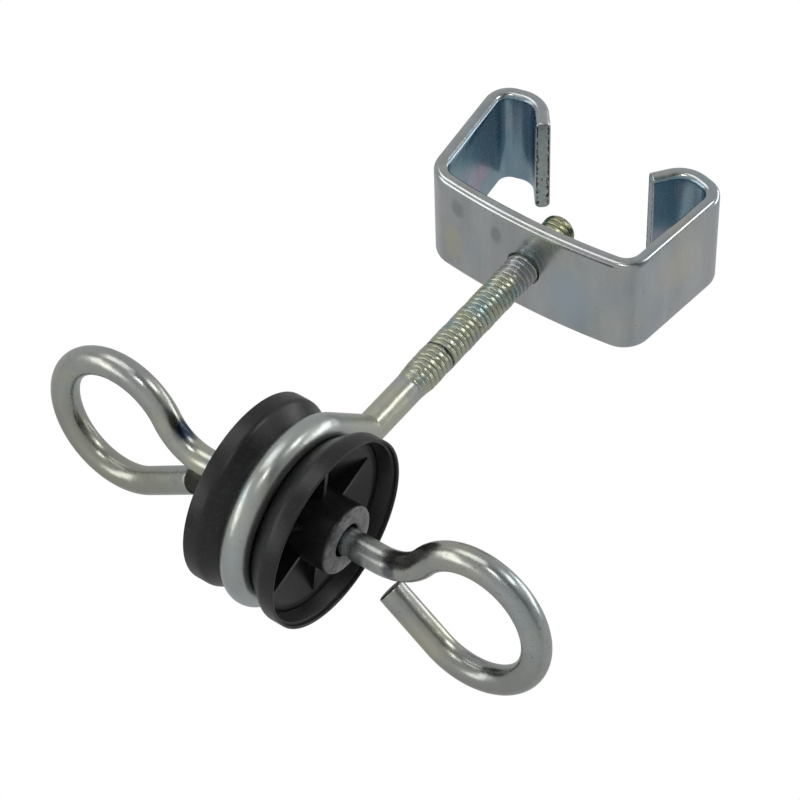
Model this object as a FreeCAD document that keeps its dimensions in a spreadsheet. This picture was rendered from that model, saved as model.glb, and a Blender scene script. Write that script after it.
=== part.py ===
import FreeCAD, Part
import math
import os

import Sketcher
from FreeCAD import Rotation, Vector

# Ceiling mounted pulley rack: a C-shaped clamp bracket, an eye bolt screwed through its web, a plastic
# pulley wheel held in the bolt's ring, and an axle rod through the wheel with an eye at each end.
#
# Frame: +Z is up and runs along the eye bolt, X runs along the axle rod, Y across the bracket's strip.
# The origin is on the bolt's axis, on the web's upper face, where the clamped track rests.

doc = FreeCAD.newDocument("pulley_rack")

# ---------------------------------------------------------------- driving sizes, in mm and degrees

SIZES = {
    # clamp bracket
    "strip_width": 26.9,
    "strip_thickness": 3.5,
    "strip_edge_radius": 1.4,
    "web_half_length": 22.3,      # along the bowed web, from its middle to the corner
    "web_bow_angle": 7.2,         # how far each half of the web turns up
    "corner_radius": 5.3,         # bend radii are at the middle of the strip
    "corner_angle": 76.7,
    "wall_length": 21.9,
    "shoulder_radius": 4.5,
    "shoulder_angle": 81.6,
    "lip_flat_length": 1.8,
    "lip_radius": 6.4,
    "lip_angle": 66.1,
    "lip_end_length": 4.6,
    # eye bolt
    "thread_diameter": 7.94,      # 5/16 inch, 18 threads per inch, over the crests
    "thread_clearance": 0.08,
    "thread_length": 59.0,
    "thread_runout": 0.8,
    "tip_height": 12.0,           # how far the bolt stands out above the web
    "tip_chamfer": 0.9,
    "bolt_rod_diameter": 7.0,
    "axle_drop": 88.3,            # from the web's upper face down to the axle
    "ring_radius": 18.9,          # at the middle of the rod
    "ring_neck_radius": 12.0,
    "ring_leave_angle": 45.0,     # slope at which the ring's end leaves the circle for the shank
    "ring_end_gap": 0.3,
    # pulley wheel
    "ring_clearance": 0.4,
    "flange_radius": 22.0,
    "groove_mouth_half": 7.8,
    "rim_width": 3.9,
    "rim_edge_round": 0.4,
    "rim_lip_thickness": 0.7,
    "rim_lip_depth": 1.0,
    "cup_outer_radius": 20.9,
    "cup_floor_radius": 19.9,
    "shelf_level": 7.6,           # levels are measured out from the wheel's middle plane
    "shelf_inner_radius": 18.0,
    "shelf_notch": 0.4,
    "dish_level": 3.4,
    "hub_radius": 8.0,
    "hub_half_length": 14.6,
    "hub_edge_round": 0.9,
    "rib_thickness": 1.2,
    "rib_root": 0.8,              # how deep a rib is sunk into the web and the hub
    "rib_count": 6,
    "rib_start_angle": 48.0,
    # axle rod
    "axle_diameter": 6.4,
    "bore_clearance": 0.65,
    "eye_reach": 46.7,            # from the wheel's middle to the eye's middle
    "eye_drop": 2.0,              # the eye's middle lies this far off the axle line
    "eye_radius": 15.4,           # at the middle of the rod
    "eye_neck_radius": 12.9,
    "eye_tail_length": 15.0,
    "eye_tail_angle": 32.3,
    "eye_turn_angle": 6.9,        # how far the eyes are turned about the axle
}

sheet = doc.addObject("Spreadsheet::Sheet", "sizes")
for row, (alias, number) in enumerate(SIZES.items(), start=1):
    sheet.set(f"A{row}", alias)
    sheet.set(f"B{row}", str(number))
    sheet.setAlias(f"B{row}", alias)
doc.recompute()


class Size:
    """A length or angle: the expression that drives it, and its present value to draw a sketch with."""

    def __init__(self, expression, value):
        self.expression = expression
        self.value = value

    def _join(self, sign, other, value):
        text = other.expression if isinstance(other, Size) else str(other)
        return Size(f"({self.expression} {sign} {text})", value)

    def __add__(self, other):
        return self._join("+", other, self.value + plain(other))

    def __sub__(self, other):
        return self._join("-", other, self.value - plain(other))

    def __mul__(self, other):
        return self._join("*", other, self.value * plain(other))

    def __truediv__(self, other):
        return self._join("/", other, self.value / plain(other))

    def __neg__(self):
        return Size(f"(-{self.expression})", -self.value)


def plain(size):
    return size.value if isinstance(size, Size) else float(size)


def cell(alias):
    return Size(f"sizes.{alias}", float(sheet.get(alias)))


ZERO = Size("0", 0.0)

# ---------------------------------------------------------------- helpers for bodies and sketches

START, END, MIDDLE = 1, 2, 3
ORIGIN_POINT = (-1, 1)
H_AXIS, V_AXIS = -1, -2


def new_body(label):
    body = doc.addObject("PartDesign::Body", label)
    body.Label = label
    return body


def origin_plane(body, role):
    return next(item for item in body.Origin.OriginFeatures if item.Role == role)


def new_sketch(body, name, role):
    sketch = body.newObject("Sketcher::SketchObject", name)
    sketch.AttachmentSupport = (origin_plane(body, role), [""])
    sketch.MapMode = "FlatFace"
    return sketch


def bind(sketch, kind, size, *geometry, unit="mm"):
    """Add one dimension to the sketch and drive it from the sheet."""
    value = math.radians(size.value) if unit == "deg" else size.value
    index = sketch.addConstraint(Sketcher.Constraint(kind, *geometry, value))
    sketch.setExpression(f"Constraints[{index}]", f"{size.expression} * 1 {unit}")


def pin(sketch, geometry, end, across, up):
    """Fix a point of the sketch at the given distances from the sketch's origin."""
    if across is ZERO:
        sketch.addConstraint(Sketcher.Constraint("PointOnObject", geometry, end, V_AXIS))
    else:
        bind(sketch, "DistanceX", across, geometry, end)
    if up is ZERO:
        sketch.addConstraint(Sketcher.Constraint("PointOnObject", geometry, end, H_AXIS))
    else:
        bind(sketch, "DistanceY", up, geometry, end)


def outline(sketch, corners):
    """Draw a closed outline through the corners. A corner that carries a radius starts a hollow arc."""
    count = len(corners)
    lines = []
    for index in range(count):
        start, finish = corners[index], corners[(index + 1) % count]
        first = Vector(start[0].value, start[1].value, 0)
        last = Vector(finish[0].value, finish[1].value, 0)
        if len(start) == 3:
            radius = start[2]
            lines.append(sketch.addGeometry(arc_between(first, last, radius.value)))
            bind(sketch, "Radius", radius, lines[-1])
        else:
            lines.append(sketch.addGeometry(Part.LineSegment(first, last)))
    for index, corner in enumerate(corners):
        before = corners[index - 1]
        start = END if len(corner) == 3 else START
        finish = START if len(before) == 3 else END
        joint = Sketcher.Constraint("Coincident", lines[index - 1], finish, lines[index], start)
        sketch.addConstraint(joint)
        pin(sketch, lines[index], start, corner[0], corner[1])


def arc_between(first, last, radius):
    """The short clockwise arc of the given radius from first to last."""
    chord = last - first
    middle = (first + last) / 2
    side = Vector(chord.y, -chord.x, 0).normalize()
    centre = middle + side * math.sqrt(radius**2 - (chord.Length / 2) ** 2)
    begin = math.atan2(last.y - centre.y, last.x - centre.x)
    finish = math.atan2(first.y - centre.y, first.x - centre.x)
    return Part.ArcOfCircle(Part.Circle(centre, Vector(0, 0, 1), radius), begin, finish)


def circle_sketch(body, name, role, radius, across=ZERO, up=ZERO):
    sketch = new_sketch(body, name, role)
    centre = Vector(across.value, up.value, 0)
    circle = sketch.addGeometry(Part.Circle(centre, Vector(0, 0, 1), radius.value))
    pin(sketch, circle, MIDDLE, across, up)
    bind(sketch, "Radius", radius, circle)
    return sketch


def pipe(body, name, profile, spine):
    feature = body.newObject("PartDesign::AdditivePipe", name)
    feature.Profile = profile
    feature.Spine = (spine, [])
    return feature


def mirror(body, name, features, role):
    feature = body.newObject("PartDesign::Mirrored", name)
    feature.Originals = features
    feature.MirrorPlane = (origin_plane(body, role), [""])
    body.Tip = feature
    return feature


def place(body, height, turn=None):
    """Lower the body to its height; turn, where given, rolls it about the axle's line."""
    body.Placement.Rotation = Rotation(Vector(1, 0, 0), 0)
    body.setExpression("Placement.Base.z", height.expression)
    if turn is not None:
        body.Placement.Rotation = Rotation(Vector(1, 0, 0), 1)
        body.setExpression("Placement.Rotation.Angle", f"{turn.expression} * 1 deg")


# ---------------------------------------------------------------- clamp bracket


def strip_section(body):
    """The strip's cross-section at the middle of the web: a rectangle with rounded edges."""
    sketch = new_sketch(body, "strip_section", "YZ_Plane")
    side = cell("strip_width") / 2
    inset = side - cell("strip_edge_radius")
    under = -cell("strip_thickness")
    radius = cell("strip_edge_radius")
    corners = [
        (-inset, ZERO),
        (inset, ZERO, radius),
        (side, -radius),
        (side, under + radius, radius),
        (inset, under),
        (-inset, under, radius),
        (-side, under + radius),
        (-side, -radius, radius),
    ]
    outline(sketch, corners)
    return sketch


def strip_spine(body):
    """The right half of the strip's middle line: web, corner, wall, shoulder, flat and lip."""
    sketch = new_sketch(body, "strip_spine", "XZ_Plane")
    bends = [
        ("web_bow_angle", None, "web_half_length"),
        ("corner_angle", "corner_radius", None),
        (None, None, "wall_length"),
        ("shoulder_angle", "shoulder_radius", None),
        (None, None, "lip_flat_length"),
        ("lip_angle", "lip_radius", None),
        (None, None, "lip_end_length"),
    ]
    point = Vector(0, -cell("strip_thickness").value / 2, 0)
    heading = 0.0
    total = ZERO
    previous = None
    for angle_name, radius_name, length_name in bends:
        if angle_name is None:
            length = cell(length_name)
            step = Vector(math.cos(heading), math.sin(heading), 0) * length.value
            item = sketch.addGeometry(Part.LineSegment(point, point + step))
            bind(sketch, "Distance", length, item)
            bind(sketch, "Angle", total, item, unit="deg")
            point = point + step
        else:
            angle = cell(angle_name)
            if radius_name is None:
                radius = cell(length_name) * 180 / (angle * math.pi)
            else:
                radius = cell(radius_name)
            centre = point + Vector(-math.sin(heading), math.cos(heading), 0) * radius.value
            circle = Part.Circle(centre, Vector(0, 0, 1), radius.value)
            begin = heading - math.pi / 2
            heading += math.radians(angle.value)
            item = sketch.addGeometry(Part.ArcOfCircle(circle, begin, heading - math.pi / 2))
            bind(sketch, "Radius", radius, item)
            total = angle if total is ZERO else total + angle
            point = centre + Vector(math.sin(heading), -math.cos(heading), 0) * radius.value
            if previous is None:
                bind(sketch, "Angle", angle, item, unit="deg")
                pin(sketch, item, START, ZERO, -cell("strip_thickness") / 2)
                sketch.addConstraint(Sketcher.Constraint("PointOnObject", item, MIDDLE, V_AXIS))
        if previous is not None:
            sketch.addConstraint(Sketcher.Constraint("Tangent", previous, END, item, START))
        previous = item
    return sketch


def clamp_bracket():
    body = new_body("clamp_bracket")
    half = pipe(body, "half_strip", strip_section(body), strip_spine(body))
    doc.recompute()
    mirror(body, "whole_strip", [half], "YZ_Plane")
    doc.recompute()
    hole_radius = cell("thread_diameter") / 2 + cell("thread_clearance")
    hole = body.newObject("PartDesign::Pocket", "tapped_hole")
    hole.Profile = circle_sketch(body, "hole_circle", "XY_Plane", hole_radius)
    hole.Type = "ThroughAll"
    hole.Midplane = True
    body.Tip = hole
    return body


# ---------------------------------------------------------------- eye bolt


def ring_and_shank_spine(body, neck_radius, radius, shank_end):
    """From the ring's lowest point round the back, through the neck and up the shank."""
    sketch = new_sketch(body, "shank_spine", "YZ_Plane")
    reach = neck_radius.value + radius.value
    neck_up = math.sqrt(reach**2 - neck_radius.value**2)
    neck_centre = Vector(neck_radius.value, neck_up, 0)
    touch = math.atan2(neck_centre.y, neck_centre.x)
    up = Vector(0, 0, 1)
    ring_circle = Part.Circle(Vector(0, 0, 0), up, radius.value)
    ring = sketch.addGeometry(Part.ArcOfCircle(ring_circle, -math.pi / 2, touch))
    neck_circle = Part.Circle(neck_centre, up, neck_radius.value)
    neck = sketch.addGeometry(Part.ArcOfCircle(neck_circle, math.pi, touch + math.pi))
    bottom, top = Vector(0, neck_up, 0), Vector(0, shank_end.value, 0)
    shank = sketch.addGeometry(Part.LineSegment(bottom, top))
    sketch.addConstraint(Sketcher.Constraint("Coincident", ring, MIDDLE, *ORIGIN_POINT))
    sketch.addConstraint(Sketcher.Constraint("PointOnObject", ring, START, V_AXIS))
    sketch.addConstraint(Sketcher.Constraint("Tangent", ring, END, neck, END))
    sketch.addConstraint(Sketcher.Constraint("Tangent", neck, START, shank, START))
    bind(sketch, "Radius", radius, ring)
    bind(sketch, "Radius", neck_radius, neck)
    pin(sketch, shank, END, ZERO, shank_end)
    sketch.addConstraint(Sketcher.Constraint("Vertical", shank))
    return sketch


def closing_spine(body, radius):
    """From the ring's lowest point round the front, then straight on to the shank's axis."""
    sketch = new_sketch(body, "closing_spine", "YZ_Plane")
    leave = cell("ring_leave_angle")
    finish = math.pi / 2 + math.radians(leave.value)
    ring_circle = Part.Circle(Vector(0, 0, 0), Vector(0, 0, 1), radius.value)
    ring = sketch.addGeometry(Part.ArcOfCircle(ring_circle, finish, 1.5 * math.pi))
    corner = Vector(math.cos(finish), math.sin(finish), 0) * radius.value
    meeting = Vector(0, radius.value / math.sin(finish), 0)
    tail = sketch.addGeometry(Part.LineSegment(corner, meeting))
    sketch.addConstraint(Sketcher.Constraint("Coincident", ring, MIDDLE, *ORIGIN_POINT))
    sketch.addConstraint(Sketcher.Constraint("PointOnObject", ring, END, V_AXIS))
    sketch.addConstraint(Sketcher.Constraint("Tangent", ring, START, tail, START))
    sketch.addConstraint(Sketcher.Constraint("PointOnObject", tail, END, V_AXIS))
    bind(sketch, "Radius", radius, ring)
    bind(sketch, "Angle", leave, tail, unit="deg")
    return sketch


def threaded_length(body, top):
    """The threaded stretch as a plain cylinder over the crests, with a chamfered tip and a run-out."""
    sketch = new_sketch(body, "thread_section", "XZ_Plane")
    crest = cell("thread_diameter") / 2
    rod = cell("bolt_rod_diameter") / 2
    start = top - cell("thread_length")
    corners = [
        (ZERO, start),
        (rod, start),
        (crest, start + cell("thread_runout")),
        (crest, top - cell("tip_chamfer")),
        (crest - cell("tip_chamfer"), top),
        (ZERO, top),
    ]
    outline(sketch, corners)
    return sketch


def eye_bolt():
    body = new_body("eye_bolt")
    top = cell("axle_drop") + cell("tip_height")
    shank_end = top - cell("thread_length") / 2
    rod = cell("bolt_rod_diameter") / 2
    radius = cell("ring_radius")
    profile = circle_sketch(body, "rod_circle", "XZ_Plane", rod, ZERO, -radius)
    pipe(body, "closing_half", profile, closing_spine(body, radius))
    doc.recompute()
    saddle = body.newObject("PartDesign::Pocket", "saddle_cut")
    gap = cell("ring_end_gap")
    saddle.Profile = circle_sketch(body, "saddle_circle", "XY_Plane", rod + gap)
    saddle.Type = "Length"
    saddle.Reversed = True
    saddle.setExpression("Length", f"{shank_end.expression} * 1 mm")
    doc.recompute()
    spine = ring_and_shank_spine(body, cell("ring_neck_radius"), radius, shank_end)
    pipe(body, "shank_and_ring", profile, spine)
    doc.recompute()
    thread = body.newObject("PartDesign::Revolution", "threaded_length")
    thread.Profile = threaded_length(body, top)
    thread.ReferenceAxis = (thread.Profile[0], ["V_Axis"])
    thread.Angle = 360
    body.Tip = thread
    place(body, -cell("axle_drop"))
    return body


# ---------------------------------------------------------------- pulley wheel


def wheel_section(body):
    """Half of the wheel's section, from the middle plane out: hub, dished web, shelf, cup and rim."""
    sketch = new_sketch(body, "wheel_section", "XY_Plane")
    bore = cell("axle_diameter") / 2 + cell("bore_clearance")
    hub, hub_end, hub_round = cell("hub_radius"), cell("hub_half_length"), cell("hub_edge_round")
    shelf, notch = cell("shelf_level"), cell("shelf_notch")
    mouth, rim_round = cell("groove_mouth_half"), cell("rim_edge_round")
    face = mouth + cell("rim_width")
    flange = cell("flange_radius")
    lip = flange - cell("rim_lip_thickness")
    ledge = face - cell("rim_lip_depth")
    floor_radius = cell("cup_floor_radius")
    groove = cell("bolt_rod_diameter") / 2 + cell("ring_clearance")
    ring = cell("ring_radius")
    corners = [
        (ZERO, bore),
        (hub_end, bore),
        (hub_end, hub - hub_round),
        (hub_end - hub_round, hub),
        (cell("dish_level"), hub),
        (shelf, cell("shelf_inner_radius")),
        (shelf, floor_radius - notch),
        (shelf - notch, floor_radius - notch / 2),
        (shelf, floor_radius),
        (ledge, cell("cup_outer_radius")),
        (ledge, lip),
        (face, lip),
        (face, flange - rim_round),
        (face - rim_round, flange),
        (mouth + rim_round, flange),
        (mouth, flange - rim_round),
        (groove, ring, groove),
        (ZERO, ring - groove),
    ]
    outline(sketch, corners)
    return sketch


def rib(body, side):
    """One gusset on the given side: level with the shelf, sunk into the hub and the dished web."""
    name = "right" if side > 0 else "left"
    sketch = new_sketch(body, f"{name}_rib_outline", "XY_Plane")
    root = cell("rib_root")
    shelf = cell("shelf_level")
    base = cell("hub_radius") - root
    corners = [
        (shelf * side, base),
        (shelf * side, cell("shelf_inner_radius")),
        ((shelf - root) * side, cell("shelf_inner_radius")),
        ((cell("dish_level") - root) * side, base),
    ]
    outline(sketch, corners)
    feature = body.newObject("PartDesign::Pad", f"{name}_rib")
    feature.Profile = sketch
    feature.Midplane = True
    feature.setExpression("Length", f"{cell('rib_thickness').expression} * 1 mm")
    return feature


def pulley_wheel():
    body = new_body("pulley_wheel")
    turned = body.newObject("PartDesign::Revolution", "half_wheel")
    turned.Profile = wheel_section(body)
    turned.ReferenceAxis = (turned.Profile[0], ["H_Axis"])
    turned.Angle = 360
    doc.recompute()
    mirror(body, "both_halves", [turned], "YZ_Plane")
    doc.recompute()
    ribs = [rib(body, side) for side in (1, -1)]
    doc.recompute()
    pattern = body.newObject("PartDesign::PolarPattern", "ribs")
    pattern.Originals = ribs
    pattern.Axis = (next(item for item in body.Origin.OriginFeatures if item.Role == "X_Axis"), [""])
    pattern.Angle = 360
    pattern.setExpression("Occurrences", cell("rib_count").expression)
    body.Tip = pattern
    place(body, -cell("axle_drop"), cell("rib_start_angle"))
    return body


# ---------------------------------------------------------------- axle rod


def eye_spine(body):
    """The rod's middle line from the wheel's middle out: straight, neck, round eye and straight tail."""
    sketch = new_sketch(body, "eye_spine", "XY_Plane")
    neck_radius = cell("eye_neck_radius")
    radius = cell("eye_radius")
    centre = Vector(cell("eye_reach").value, cell("eye_drop").value, 0)
    reach = neck_radius.value + radius.value
    neck_centre = Vector(0, -neck_radius.value, 0)
    neck_centre.x = centre.x - math.sqrt(reach**2 - (centre.y - neck_centre.y) ** 2)
    up = Vector(0, 0, 1)
    straight = sketch.addGeometry(Part.LineSegment(Vector(0, 0, 0), Vector(neck_centre.x, 0, 0)))
    bearing = math.atan2(centre.y - neck_centre.y, centre.x - neck_centre.x)
    neck_circle = Part.Circle(neck_centre, up, neck_radius.value)
    neck = sketch.addGeometry(Part.ArcOfCircle(neck_circle, bearing, math.pi / 2))
    finish = math.pi / 2 + math.radians(cell("eye_tail_angle").value)
    eye_circle = Part.Circle(centre, up, radius.value)
    eye = sketch.addGeometry(Part.ArcOfCircle(eye_circle, bearing - math.pi, finish))
    corner = centre + Vector(math.cos(finish), math.sin(finish), 0) * radius.value
    along = Vector(-math.sin(finish), math.cos(finish), 0)
    tail_end = corner + along * cell("eye_tail_length").value
    tail = sketch.addGeometry(Part.LineSegment(corner, tail_end))
    sketch.addConstraint(Sketcher.Constraint("Coincident", straight, START, *ORIGIN_POINT))
    sketch.addConstraint(Sketcher.Constraint("Horizontal", straight))
    sketch.addConstraint(Sketcher.Constraint("Tangent", straight, END, neck, END))
    sketch.addConstraint(Sketcher.Constraint("Tangent", neck, START, eye, START))
    sketch.addConstraint(Sketcher.Constraint("Tangent", eye, END, tail, START))
    bind(sketch, "Radius", neck_radius, neck)
    bind(sketch, "Radius", radius, eye)
    pin(sketch, eye, MIDDLE, cell("eye_reach"), cell("eye_drop"))
    bind(sketch, "Distance", cell("eye_tail_length"), tail)
    bind(sketch, "Angle", cell("eye_tail_angle") + 180, tail, unit="deg")
    return sketch


def axle_rod():
    body = new_body("axle_rod")
    profile = circle_sketch(body, "axle_circle", "YZ_Plane", cell("axle_diameter") / 2)
    half = pipe(body, "right_eye", profile, eye_spine(body))
    doc.recompute()
    mirror(body, "both_eyes", [half], "YZ_Plane")
    place(body, -cell("axle_drop"), -cell("eye_turn_angle"))
    return body


# ---------------------------------------------------------------- build, check and write

bodies = [clamp_bracket(), eye_bolt(), pulley_wheel(), axle_rod()]
doc.recompute()

for item in doc.Objects:
    if "Invalid" in item.State or "Error" in item.State:
        raise RuntimeError(f"{item.Label} did not build: {item.State}")
for body in bodies:
    if body.Shape.isNull() or not body.Shape.isValid():
        raise RuntimeError(f"{body.Label} has no valid shape")
    if len(body.Shape.Solids) != 1:
        raise RuntimeError(f"{body.Label} is not one solid")

os.makedirs("parts", exist_ok=True)
for body in bodies:
    body.Shape.exportStep(f"parts/{body.Label}.step")
    print(body.Label, round(body.Shape.Volume, 1), body.Shape.BoundBox)
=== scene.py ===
import math

import bmesh
import bpy
from mathutils import Matrix, Vector


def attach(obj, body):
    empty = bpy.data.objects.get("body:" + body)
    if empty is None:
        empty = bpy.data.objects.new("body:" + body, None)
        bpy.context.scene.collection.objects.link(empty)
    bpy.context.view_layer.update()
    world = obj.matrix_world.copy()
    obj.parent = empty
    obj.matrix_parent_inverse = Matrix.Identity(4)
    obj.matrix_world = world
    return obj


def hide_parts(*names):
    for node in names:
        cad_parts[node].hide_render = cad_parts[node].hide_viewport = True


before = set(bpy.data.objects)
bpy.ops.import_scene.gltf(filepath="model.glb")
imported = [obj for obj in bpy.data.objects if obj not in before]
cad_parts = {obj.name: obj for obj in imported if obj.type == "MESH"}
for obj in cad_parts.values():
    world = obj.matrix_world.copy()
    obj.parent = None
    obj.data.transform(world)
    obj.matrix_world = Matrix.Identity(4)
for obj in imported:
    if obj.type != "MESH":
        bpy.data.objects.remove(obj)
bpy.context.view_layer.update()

# Ceiling mounted pulley rack. The pieces below stand for the four CAD nodes and are built in their frame:
# +Z up along the eye bolt, X along the axle rod, origin on the bolt's axis at the web's upper face.
# Lengths are in millimetres. A bend is (radius, degrees).

MM = 0.001
MERGE_DISTANCE = 0.002
X_AXIS, Y_AXIS, Z_AXIS = Vector((1, 0, 0)), Vector((0, 1, 0)), Vector((0, 0, 1))
AXLE_Z = -88.3

STRIP_WIDTH = 26.9
STRIP_THICKNESS = 3.5
STRIP_EDGE = 1.4            # radius of the strip's four long edges
STRIP_EDGE_STEPS = 6
STRIP_SPANS = 10            # quads across each broad face
STRIP_END_ROUND = 0.28
INNER_FACE_BAND = 0.3       # how near the strip's inner surface a face takes its material
WEB_HALF, WEB_BOW = 22.3, 7.2
FOOT_BEND = (5.3, 76.7)
WALL_LENGTH = 21.9
SHOULDER_BEND = (4.5, 81.6)
SHOULDER_LENGTH = 1.8
LIP_BEND = (6.4, 66.1)
LIP_LENGTH = 4.6
HOLE_RADIUS = 4.05
HOLE_SINK = 0.35
HOLE_SIDES = 72

CREST_RADIUS = 3.97
CREST_WEAR = 0.07
ROOT_RADIUS = 3.66
ROOT_FLAT, FLANK = 0.02, 0.42   # shares of half a pitch
PITCH = 1.411
BOLT_ROD = 3.48
BOLT_TOP = 12.0
BOLT_SIDES = 64
TIP_CHAMFER = 0.9
CHAMFER_SLOPE = 0.85
TIP_BORDER = 1.3            # from the crests in to the middle part of the flat tip
THREAD_START = -47.0
THREAD_STEPS = 10           # rings of points per pitch
THREAD_RUNOUT = 4.0
SCAR_Z = -35.6              # a cut round the thread
SCAR_HALF_WIDTH = 0.3
SCAR_DEPTH = 0.14
RING_RADIUS = 18.9
RING_NECK = 12.0
RING_LEAVE = 45             # how far past half a turn the ring bends before it closes

AXLE_ROD = 3.19
AXLE_SIDES = 48
AXLE_STRAIGHT = 22.64
EYE_TILT = math.radians(-6.9)
EYE_NECK_BEND = (12.9, -58.2)
EYE_BEND = (15.4, 270.5)
EYE_TAIL = 14.4
CUT_LEAN = 0.10             # how much the rod's cut ends slope
CUT_STEPS = ((0.2, 0.995), (0.36, 0.97), (0.48, 0.93), (0.55, 0.88))  # (past the rod, share of its radius)

BORE_RADIUS = 3.85
HUB_RADIUS = 8.0
HUB_END = 14.6
SHELF = 7.6                 # the shelf at the ribs' outer ends, out from the middle plane
WHEEL_RADIUS = 22.0
WHEEL_SIDES = 180
GROOVE_RADIUS = BOLT_ROD + 0.4
GROOVE_STEPS = 12
RIB_START = math.radians(48.0)
RIB_COUNT = 6
RIB_FOOT, RIB_CREST = 0.75, 0.5     # half a rib's thickness, deep down and at its free edge


# ---------------------------------------------------------------- paths and skins


def trace(start, heading, moves, step=0.8):
    """Follow straights and bends in a plane, where a move is (length, turn in degrees).

    Returns (x, y, heading, run) at least every step and every 3 degrees, with the heading in radians.
    """
    x, y = start
    run = 0.0
    stations = [(x, y, heading, run)]
    for length, turn in moves:
        count = max(1, round(max(length / step, abs(turn) / 3.0)))
        for _ in range(count):
            turned = math.radians(turn) / count
            chord = length / count
            if turned:
                chord *= math.sin(turned / 2) / (turned / 2)
            heading += turned / 2
            x += chord * math.cos(heading)
            y += chord * math.sin(heading)
            heading += turned / 2
            run += length / count
            stations.append((x, y, heading, run))
    return stations


def bend(radius, degrees):
    """The move that goes round an arc."""
    return (radius * math.radians(abs(degrees)), degrees)


class Skin:
    """A mesh of closed rings of points, with a UV map in millimetres: along the piece, and round it."""

    def __init__(self):
        self.mesh = bmesh.new()
        self.uv = self.mesh.loops.layers.uv.new("along_round")

    def ring(self, points):
        return [self.mesh.verts.new(Vector(point) * MM) for point in points]

    def face(self, corners, places, material, smooth=True):
        made = self.mesh.faces.new(corners)
        made.smooth = smooth
        made.material_index = material
        for loop, place in zip(made.loops, places):
            loop[self.uv].uv = place

    def wrap(self, first, second, first_run, second_run, rounds, material=0):
        """Join two rings with quads. rounds holds each point's distance round the ring, then the full girth.

        material is an index, or a function that gives the index of a quad.
        """
        count = len(first)
        for index in range(count):
            after = (index + 1) % count
            near, far = rounds[index], rounds[index + 1]
            corners = (first[index], first[after], second[after], second[index])
            places = ((first_run, near), (first_run, far), (second_run, far), (second_run, near))
            self.face(corners, places, material(index) if callable(material) else material)

    def cap(self, ring, places, material=0, flip=False):
        order = -1 if flip else 1
        self.face(ring[::order], places[::order], material, smooth=False)

    def finish(self, name, materials, crease):
        """Make the object, with a sharp edge wherever two faces meet at more than crease degrees."""
        bmesh.ops.remove_doubles(self.mesh, verts=self.mesh.verts, dist=MERGE_DISTANCE * MM)
        bmesh.ops.recalc_face_normals(self.mesh, faces=self.mesh.faces)
        data = bpy.data.meshes.new(name)
        self.mesh.to_mesh(data)
        self.mesh.free()
        for material in materials:
            data.materials.append(material)
        data.set_sharp_from_angle(angle=math.radians(crease))
        piece = bpy.data.objects.new(name, data)
        bpy.context.scene.collection.objects.link(piece)
        return piece


def circle_points(centre, across, out, radius, count):
    points = []
    for index in range(count):
        angle = 2 * math.pi * index / count
        points.append(centre + (across * math.cos(angle) + out * math.sin(angle)) * radius)
    return points


def girth(radius, count):
    """Each point's distance round a circle, and the full girth last."""
    return [2 * math.pi * radius * index / count for index in range(count + 1)]


def bake_modifiers(piece):
    graph = bpy.context.evaluated_depsgraph_get()
    baked = bpy.data.meshes.new_from_object(piece.evaluated_get(graph))
    piece.modifiers.clear()
    old = piece.data
    piece.data = baked
    bpy.data.meshes.remove(old)


def add_boolean(piece, name, operation, other):
    modifier = piece.modifiers.new(name, "BOOLEAN")
    modifier.operation = operation
    modifier.solver = "EXACT"
    modifier.object = other


# ---------------------------------------------------------------- materials


def add_node(tree, kind, **settings):
    made = tree.nodes.new(kind)
    for key, value in settings.items():
        setattr(made, key, value)
    return made


def fill_ramp(ramp, stops):
    """Give a colour ramp its (position, value) stops, where a value is a grey or a colour."""
    elements = ramp.color_ramp.elements
    while len(elements) < len(stops):
        elements.new(0.5)
    for element, (position, value) in zip(elements, stops):
        element.position = position
        colour = value if isinstance(value, tuple) else (value, value, value)
        element.color = (*colour, 1)


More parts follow.
